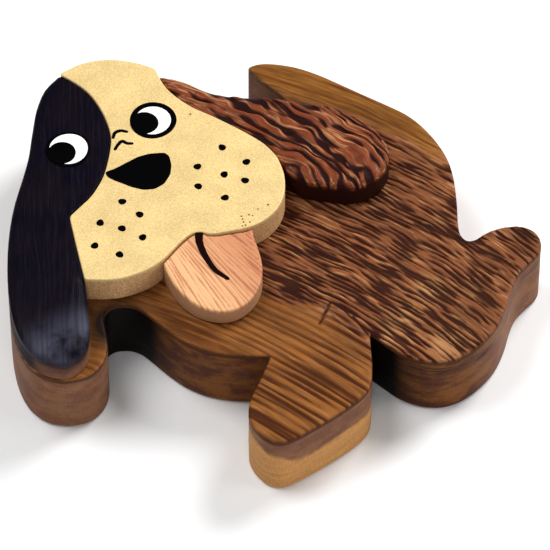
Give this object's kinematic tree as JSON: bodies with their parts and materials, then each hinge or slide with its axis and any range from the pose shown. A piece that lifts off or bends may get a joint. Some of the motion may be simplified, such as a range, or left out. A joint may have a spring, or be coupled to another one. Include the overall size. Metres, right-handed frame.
{
  "type": "wooden puzzle box",
  "caption": "Dog-shaped wooden puzzle box lying flat: the tongue slides out as a key, and the lid with the head turns on a hidden dowel to uncover a felt-lined compartment.",
  "frame": {"origin": "middle of the bounding box at the underside, where the box lies on a table", "axes": "+Z out of the dog's painted face, away from the table; +X from the chest to the dog's back and tail; +Y from the feet to the crown of the head"},
  "size_m": [0.1414, 0.1394, 0.031],
  "materials": {
    "block_wood": "brown hardwood, smooth sanded and oiled",
    "lid_wood": "coarse brushed grain, dark brown with ochre streaks, satin",
    "face_wood": "pale fine-grained board, clear lacquer",
    "black_stain": "blue-black stain over visible grain, satin",
    "dark_wood": "dark red-brown wood with tan streaks, brushed",
    "tongue_wood": "pink-orange wood with open grain",
    "pale_wood": "bare beech",
    "felt": "wool felt",
    "cork": "pressed cork",
    "nickel": "nickel-plated magnet",
    "steel": "zinc-plated steel"
  },
  "bodies": {
    "base": {"body_block": "block_wood", "felt_floor": "felt", "lock_pin": "pale_wood", "screw_cover": "cork", "block_magnet_tail": "nickel", "block_magnet_foot": "nickel", "block_magnet_shoulder": "nickel"},
    "lid": {"lid_plate": "lid_wood", "face_plate": "face_wood", "left_ear_backing": "block_wood", "left_ear": "black_stain", "right_ear": "dark_wood", "pivot_dowel": "pale_wood", "pivot_screw": "steel", "pivot_washer": "steel", "tongue_stop_brad": "steel", "lid_magnet_tail": "nickel", "lid_magnet_foot": "nickel", "lid_magnet_shoulder": "nickel"},
    "tongue": {"tongue": "tongue_wood", "tongue_tenon": "pale_wood"}
  },
  "joints": [
    {"name": "lid_turn", "type": "hinge", "parent": "base", "child": "lid", "pos_m": [-0.01448, 0.02884, 0.02], "axis": [0, 0, -1], "range_deg": [0, 100]},
    {"name": "tongue_pull", "type": "slide", "parent": "lid", "child": "tongue", "axis": [-0.1908, -0.9816, 0], "range_m": [0, 0.013]}
  ]
}
